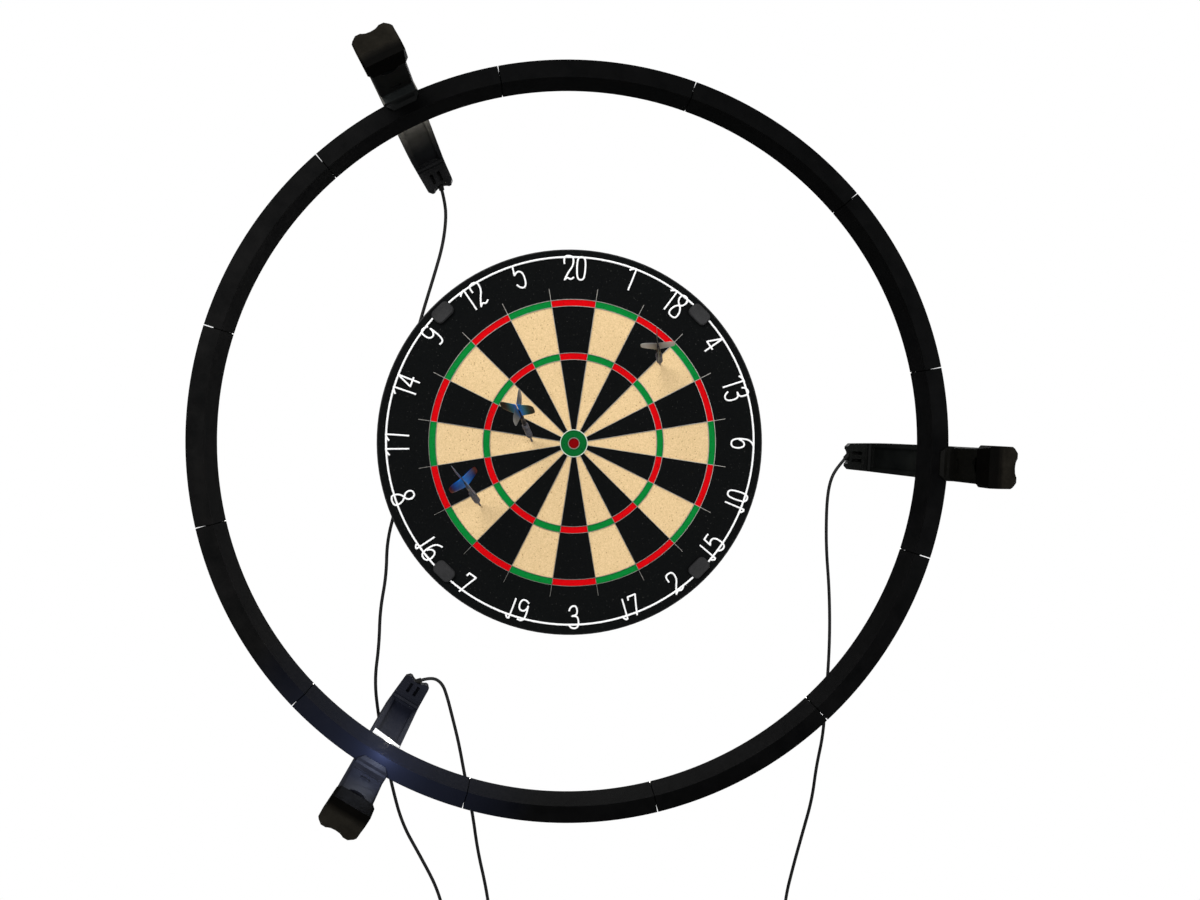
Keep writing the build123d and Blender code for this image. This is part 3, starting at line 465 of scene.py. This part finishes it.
def plug(arm):
    """Moulded grip with a ribbed strain relief, and its metal shell, hanging from the tail."""
    x, z, _, outer, side = COILS[arm]
    top = Matrix.Translation(Vector((x + side * outer, -LAYER_HIGH, z - outer - PLUG_TAIL)) * MM)
    relief = [(2.1, 0.0), (2.5, 0.0)]
    for k in range(4):
        relief += [(2.6 + 0.2 * k, -0.6 - 1.4 * k), (2.6 + 0.2 * k, -1.3 - 1.4 * k), (2.2 + 0.2 * k, -1.45 - 1.4 * k),
                   (2.2 + 0.2 * k, -1.9 - 1.4 * k)]
    vertices, faces = lathe([(r * MM, h * MM) for r, h in relief + [(3.3, -6.2)]], 24)
    grip_rings = []
    for h, grow in ((-6.0, -1.6), (-6.6, -0.4), (-8.0, 0.0), (-20.0, 0.0), (-20.4, -0.5), (-21.2, -0.5), (-21.6, 0.0),
                    (-22.6, 0.0), (-23.0, -0.5), (-23.8, -0.5), (-24.2, 0.0), (-29.2, 0.0), (-30.0, -0.7)):
        grip_rings.append([(u * MM, v * MM, h * MM) for u, v in rounded_outline(8.0 + grow, 4.0 + grow, 2.2)])
    more, extra = loft(grip_rings)
    faces = faces + [tuple(i + len(vertices) for i in f) for f in extra]
    grip = mesh_piece(f"plug_grip_{arm}", vertices + more, faces, CABLE_BLACK)
    shell_rings = []
    for h, half_x, half_y in ((-29.5, 6.0, 2.25), (-41.9, 6.0, 2.25), (-41.9, 5.6, 1.85), (-30.5, 5.6, 1.85)):
        shell_rings.append([(u * MM, v * MM, h * MM) for u, v in rounded_outline(half_x, half_y, 0.5, 2)])
    shell = mesh_piece(f"plug_shell_{arm}", *loft(shell_rings), PLUG_METAL)
    tongue_rings = [[(u * MM, (v - 0.9) * MM, h * MM) for u, v in rounded_outline(5.3, 0.85, 0.2, 2)]
                    for h in (-30.0, -40.8)]
    tongue = mesh_piece(f"plug_tongue_{arm}", *loft(tongue_rings), STRIP_FILM)
    for piece, slot in ((grip, "cable_black"), (shell, "steel_screw"), (tongue, "strip_base")):
        piece.matrix_world = top
        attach(piece, "base")
    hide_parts(f"usb_plug_{arm}")
    return [grip, shell, tongue]


TIE_TURNS = {"a": 200.0, "b": 200.0, "c": -20.0}
for arm in ARMS:
    run = cable(arm)
    ends = plug(arm) + [coil_tie(arm, TIE_TURNS[arm])]


# ---- board face --------------------------------------------------------------------------------
BOARD_FACE, CORE_BACK, CORE_R = 52.0, 23.0, 227.3
CORE_SHIFT = -1.6               # the fields sit a little off the core's middle
RINGS = (6.35, 15.9, 99.0, 107.0, 162.0, 170.0, CORE_R)
STEPS_PER_SECTOR = 8


def sisal_core():
    """The face as one flat mesh cut into the dyed fields, with the core's side and back."""
    steps = 20 * STEPS_PER_SECTOR
    turn = [math.radians(90 - 9 - k * 360 / steps) for k in range(steps)]
    vertices = [(0.0, -BOARD_FACE * MM, 0.0)]
    for r in RINGS:
        shift = CORE_SHIFT if r == CORE_R else 0.0
        vertices += [((r * math.cos(t) + shift) * MM, -BOARD_FACE * MM, r * math.sin(t) * MM) for t in turn]
    faces, fields = [], []
    for k in range(steps):
        n = (k + 1) % steps
        even = (k // STEPS_PER_SECTOR) % 2 == 1      # the field right of the top one is light
        faces.append((0, 1 + k, 1 + n))
        fields.append(4)
        for ring in range(len(RINGS) - 1):
            a, b = 1 + ring * steps, 1 + (ring + 1) * steps
            faces.append((a + k, b + k, b + n, a + n))
            single, scoring = (0, 2) if even else (1, 3)
            fields.append((6, single, scoring, single, scoring, 0)[ring])
    back = len(vertices)
    vertices += [((CORE_R * math.cos(t) + CORE_SHIFT) * MM, -CORE_BACK * MM, CORE_R * math.sin(t) * MM) for t in turn]
    rim = 1 + (len(RINGS) - 1) * steps
    for k in range(steps):
        n = (k + 1) % steps
        faces.append((rim + k, back + k, back + n, rim + n))
        fields.append(5)
    faces.append(tuple(back + k for k in range(steps))[::-1])
    fields.append(5)
    piece = mesh_piece("sisal_face", vertices, faces)
    for material in (BLACK_SISAL, CREAM_SISAL, RED_SISAL, GREEN_SISAL, BULL_RED, RAW_SISAL, BULL_GREEN):
        piece.data.materials.append(material)
    piece.data.polygons.foreach_set("material_index", fields)
    mesh = bmesh.new()
    mesh.from_mesh(piece.data)
    bmesh.ops.recalc_face_normals(mesh, faces=mesh.faces)
    mesh.to_mesh(piece.data)
    mesh.free()
    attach(piece, "board")
    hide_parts("sisal_core")


sisal_core()


# ---- number wire -------------------------------------------------------------------------------
# Each figure is one or more bent wires in a cell 13 mm wide and 26 mm tall.
FIGURES = {
    "0": [[(-5.6, 6), (-5.6, 20), (-3.5, 26.4), (3.5, 26.4), (5.6, 20), (5.6, 6), (3.5, -0.4), (-3.5, -0.4)]],
    "1": [[(-7.0, 22.5), (-3, 25.5), (1, 26.5), (1, 26.5), (0.6, 12), (0, -0.5)]],
    "1 below": [[(0.6, 26.0), (0.4, 14), (0, -1.0), (0, -1.0), (-2.5, -1.5), (-5.0, 2.0)]],
    "2": [[(-5.5, 18), (-6.5, 26), (0, 28), (6.5, 26), (6, 16), (-1, 8), (-6.5, -0.5), (-6.5, -0.5), (-2, 2.5),
           (2.5, -1), (7, 2.5)]],
    "3": [[(-5.5, 21), (-4, 27), (5, 28), (6, 16), (-1.5, 14.5), (-1.5, 14.5), (7, 14), (7, -1), (-3, -2), (-6, 4)]],
    "4": [[(2.8, -0.5), (2.8, 26.5), (2.8, 26.5), (-6.5, 8.5), (-6.5, 8.5), (7, 8.5)]],
    "5": [[(6, 26), (-3.5, 26), (-3.5, 26), (-4.8, 15), (-4.8, 15), (1, 19), (7.5, 15), (7, -1), (-2, -2), (-6, 4)]],
    "6": [[(4.5, 26), (-4, 24), (-7, 10), (-5.5, -1), (4.5, -1.5), (7, 7), (4, 15), (-3, 14), (-5.6, 8)]],
    "7": [[(-6, 21.5), (-5.4, 26), (-5.4, 26), (6, 26), (6, 26), (1.5, 12), (-1.5, -0.5)]],
    "8": [[(4.6, 21), (4.5, 27.5), (-5.5, 27.5), (-6.5, 18), (5, 12), (7.5, 0), (0, -2), (-7.5, 0), (-5, 12),
           (5.5, 17), (5, 24)]],
    "9": [[(5.5, 24), (2, 27.5), (-6, 26.5), (-6.5, 15), (0, 12), (5, 16), (5.6, 23), (6, 8), (3, -1), (-4, 1)]],
}
ORDER = (20, 1, 18, 4, 13, 6, 10, 15, 2, 17, 3, 19, 7, 16, 8, 11, 14, 9, 12, 5)
UPSIDE = (10, 15, 2, 17, 3, 19, 7, 16, 8)       # these stand upright below the centre
HOOP_R, FIGURE_H, WIRE_DEPTH, WIRE_R = 217.6, 26.0, 53.5, 1.1
HOOP_SHIFT = (-1.4, 1.7)        # the ring hangs this far off the axis, x and z
ASIDE = {20: 0.9, 1: 2.2, 18: 0.5, 4: 1.0, 6: 0.7, 10: 2.0, 15: 1.6, 2: 0.3, 17: -0.9, 19: 0.4, 7: 1.0, 14: 0.8,
         9: 1.3, 12: 1.9}       # degrees clockwise by which the hand-bent figures miss their fields' middles
BELOW_OUT, BELOW_SCALE = 3.0, 0.92              # the upright figures below the centre: shift outward, height
FIGURE_STEP, FIGURE_WIDTH = 14.6, 0.88


def figure_splines(curve, number, angle):
    flip = number in UPSIDE
    digits = str(number)
    for place, digit in enumerate(digits):
        shift = (place - (len(digits) - 1) / 2) * FIGURE_STEP * (0.86 if "1" in digits else 1.0)
        shift *= 1.3 if number == 11 else 1.0
        for wire in FIGURES["1 below" if flip and digit == "1" else digit]:
            closed = digit == "0"
            spline = curve.splines.new("NURBS")
            spline.points.add(len(wire) - 1)
            for point, (u, v) in zip(spline.points, wire):
                along, out = FIGURE_WIDTH * u + shift, v - FIGURE_H
                if flip:
                    along, out = -along, BELOW_OUT - BELOW_SCALE * v
                a = math.radians(angle - ASIDE.get(number, 0.0)) - along / (HOOP_R - FIGURE_H / 2)
                r = HOOP_R + out
                x, z = r * math.cos(a) + HOOP_SHIFT[0], r * math.sin(a) + HOOP_SHIFT[1]
                point.co = (x * MM, -WIRE_DEPTH * MM, z * MM, 1.0)
            spline.order_u = 3
            spline.use_endpoint_u, spline.use_cyclic_u = not closed, closed
            spline.resolution_u = 5


def number_figures():
    curve = bpy.data.curves.new("number_figures", "CURVE")
    curve.dimensions = "3D"
    curve.bevel_depth, curve.bevel_resolution, curve.use_fill_caps = WIRE_R * MM, 3, True
    for sector, number in enumerate(ORDER):
        figure_splines(curve, number, 90.0 - 18.0 * sector)
    piece = link("number_figures", curve, WHITE_WIRE)
    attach(piece, "number_ring")


number_figures()


# ---- darts -------------------------------------------------------------------------------------
# x, z where the point meets the board, sideways and upward tilt in degrees, roll of the flight
DARTS = {
    "1": (-49.4, 2.9, -6.9, 16.5, -8.0),
    "2": (-110.8, -72.4, -4.6, 16.5, 42.0),
    "3": (103.0, 94.2, -9.2, 5.0, 3.0),
}
POINT_L, BARREL_L, STEM_L = 18.0, 52.0, 52.0
FLIGHT_START, FLIGHT_HALF = 32.0, 18.0


def flight_film(name, stops, rough=0.3):
    """Thin printed film: the print runs from the stem out to the vane's edge."""
    s = Shader(name, rough, Specular_IOR_Level=0.04)
    x, y, _ = s.node("ShaderNodeSeparateXYZ", {"Vector": s.coords}).outputs
    radius = s.math("SQRT", s.math("ADD", s.math("MULTIPLY", x, x), s.math("MULTIPLY", y, y)))
    wobble = s.math("MULTIPLY", s.math("SUBTRACT", s.noise(140.0, 3.0), 0.5), 0.25)
    share = s.math("ADD", s.math("DIVIDE", radius, FLIGHT_HALF * MM), wobble)
    s.colour(s.ramp(share, *stops))
    return s.bump(s.noise(300.0, 2.0), 0.08, 0.0005).material


FILMS = {                       # film of the first and third vane, then of the other two
    "1": (flight_film("film_teal", ((0.1, (0.01, 0.22, 0.8)), (0.3, (0.002, 0.2, 0.34)), (0.5, (0.001, 0.09, 0.085)),
                                    (0.72, (0.001, 0.008, 0.009)), (0.97, (0.006, 0.014, 0.014)))),
          flight_film("film_smoke", ((0.1, (0.02, 0.1, 0.32)), (0.35, (0.05, 0.09, 0.14)), (0.7, (0.12, 0.13, 0.14)),
                                     (0.97, (0.3, 0.3, 0.3))))),
    "2": (flight_film("film_blue", ((0.1, (0.01, 0.24, 0.8)), (0.4, (0.003, 0.11, 0.45)), (0.68, (0.002, 0.03, 0.17)),
                                    (0.84, (0.04, 0.003, 0.01)), (0.98, (0.12, 0.006, 0.008)))),
          flight_film("film_pale_blue", ((0.1, (0.05, 0.14, 0.3)), (0.5, (0.2, 0.24, 0.28)),
                                         (0.97, (0.4, 0.42, 0.44))))),
    "3": (flight_film("film_pale", ((0.1, (0.12, 0.13, 0.16)), (0.3, (0.3, 0.3, 0.31)), (0.7, (0.55, 0.53, 0.52)),
                                    (0.96, (0.6, 0.57, 0.54)))),
          flight_film("film_grey", ((0.1, (0.01, 0.012, 0.016)), (0.5, (0.03, 0.032, 0.04)),
                                    (0.97, (0.12, 0.12, 0.13))))),
}
STEMS = {
    "1": moulded("stem_dark", (0.006, 0.007, 0.012), (0.03, 0.032, 0.045), 900.0, (0.25, 0.4), 0.03),
    "2": moulded("stem_clear", (0.02, 0.024, 0.035), (0.16, 0.17, 0.2), 900.0, (0.2, 0.35), 0.03),
    "3": moulded("stem_black", (0.002, 0.003, 0.006), (0.012, 0.014, 0.02), 900.0, (0.25, 0.4), 0.03),
}


def vane(roll, start):
    """One vane, 0.4 mm film cupped a little, as (vertices, faces)."""
    edge = [(0.0, 0.8), (6.0, 7.0), (12.0, 13.2), (17.0, 16.8), (22.0, 17.9), (30.0, 18.0), (37.0, 17.6),
            (40.5, 16.0), (42.0, 13.0), (40.0, 6.0), (38.6, 0.8)]
    spine = [0.0, 4.0, 8.0, 12.0, 16.0, 20.0, 25.0, 29.0, 33.0, 36.5, 38.6]
    rows = 6
    vertices, faces = [], []
    for side in (0.2, -0.2):
        for (at, r), base in zip(edge, spine):
            for k in range(rows):
                t = k / (rows - 1)
                radius = 0.8 + (r - 0.8) * t
                length = base + (at - base) * t
                cup = 0.9 * math.sin(math.pi * t) * math.sin(math.pi * min(1.0, length / 40.0))
                x, y = radius, cup + side * (1 - 0.5 * t)
                c, s = math.cos(roll), math.sin(roll)
                vertices.append(((x * c - y * s) * MM, (x * s + y * c) * MM, (start + length) * MM))
    count = len(edge)
    for side in range(2):
        for i in range(count - 1):
            for k in range(rows - 1):
                a = side * count * rows + i * rows + k
                quad = (a, a + 1, a + rows + 1, a + rows)
                faces.append(quad if side == 0 else quad[::-1])
    border = [i * rows + rows - 1 for i in range(count)]
    border = [k for k in range(rows - 1)] + border + [(count - 1) * rows + k for k in range(rows - 2, -1, -1)]
    border += [i * rows for i in range(count - 2, 0, -1)]
    shift = count * rows
    for a, b in zip(border, border[1:] + border[:1]):
        faces.append((a, a + shift, b + shift, b))
    return vertices, faces


def dart_flight(dart):
    x, z, side, up, roll = DARTS[dart]
    run = Vector((math.tan(math.radians(side)), -1.0, math.tan(math.radians(up)))).normalized()
    across = run.cross(Vector((0, 0, 1))).normalized()
    basis = Matrix((across, run.cross(across), run)).transposed().to_4x4()
    place = Matrix.Translation(Vector((x, -BOARD_FACE, z)) * MM) @ basis
    start = POINT_L + BARREL_L
    profile = [(2.4, start), (2.5, start + 1), (2.0, start + 3), (2.0, start + 5), (2.5, start + 6.5),
               (2.5, start + 8), (2.05, start + 10), (2.0, start + 22), (2.35, start + 24), (2.35, start + 30),
               (1.6, start + 33), (1.5, start + STEM_L - 2), (0.9, start + STEM_L)]
    vertices, faces = lathe([(r * MM, h * MM) for r, h in profile], 20)
    stem = mesh_piece(f"dart_{dart}_stem", vertices, faces, STEMS[dart], smooth=True)
    points, quads = [], []
    for k in range(4):
        more, extra = vane(math.radians(roll + 90 * k), start + FLIGHT_START)
        quads += [tuple(i + len(points) for i in f) for f in extra]
        points += more
    film = mesh_piece(f"dart_{dart}_vanes", points, quads, FILMS[dart][0])
    film.data.materials.append(FILMS[dart][1])
    per_vane = len(quads) // 4
    film.data.polygons.foreach_set("material_index", [(i // per_vane) % 2 for i in range(len(quads))])
    for piece in (stem, film):
        piece.matrix_world = place
        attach(piece, f"dart_{dart}")
    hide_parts(f"dart_{dart}_flight")


for dart in DARTS:
    dart_flight(dart)


# ---- light and floor ---------------------------------------------------------------------------
def area_light(name, place, aim, size, power, colour=(1.0, 1.0, 1.0)):
    data = bpy.data.lights.new(name, "AREA")
    data.shape, data.size, data.energy, data.color = "DISK", size, power, colour
    lamp = bpy.data.objects.new(name, data)
    lamp.location = place
    lamp.rotation_euler = (Vector(aim) - Vector(place)).to_track_quat("-Z", "Y").to_euler()
    bpy.context.scene.collection.objects.link(lamp)


area_light("key", (-1.1, -2.4, 1.5), (0, 0, 0), 1.8, 88.0)
area_light("fill", (1.5, -2.2, 0.2), (0, 0, 0), 2.2, 36.0)
area_light("behind", (0.6, 2.2, 1.4), (0, 0, 0), 2.0, 30.0)

glow_data = bpy.data.lights.new("loose_end_glow", "POINT")
glow_data.energy, glow_data.shadow_soft_size, glow_data.color = 0.05, 0.008, (0.72, 0.8, 1.0)
glow = bpy.data.objects.new("loose_end_glow", glow_data)
glow.location = around(237.4, 377.0, 186.0) * MM
bpy.context.scene.collection.objects.link(glow)

world = bpy.data.worlds.new("studio")
bpy.context.scene.world = world
world.use_nodes = True
tree = world.node_tree
seen = tree.nodes["Background"]
seen.inputs["Color"].default_value = (1.0, 1.0, 1.0, 1.0)
seen.inputs["Strength"].default_value = BACKDROP_GLOW
soft = tree.nodes.new("ShaderNodeBackground")
soft.inputs["Color"].default_value = (0.95, 0.97, 1.0, 1.0)
soft.inputs["Strength"].default_value = ROOM_GLOW
choose = tree.nodes.new("ShaderNodeMixShader")
tree.links.new(tree.nodes.new("ShaderNodeLightPath").outputs["Is Camera Ray"], choose.inputs[0])
tree.links.new(soft.outputs[0], choose.inputs[1])
tree.links.new(seen.outputs[0], choose.inputs[2])
tree.links.new(choose.outputs[0], tree.nodes["World Output"].inputs[0])

floor_shader = Shader("floor_pale", 0.8, Specular_IOR_Level=0.2)
floor_shader.colour(floor_shader.ramp(floor_shader.noise(6.0, 4.0), (0.3, (0.78, 0.78, 0.77)),
                                      (0.7, (0.84, 0.84, 0.83))))
turns = [2 * math.pi * t / FLOOR_STEPS for t in range(FLOOR_STEPS)]
floor = mesh_piece("floor", *loft([[(FLOOR_R * math.cos(t), FLOOR_R * math.sin(t), h) for t in turns]
                                   for h in (FLOOR_BOTTOM, FLOOR_TOP)]), floor_shader.material)

bpy.context.scene.view_settings.view_transform = "Standard"
bpy.context.scene.view_settings.look = "None"
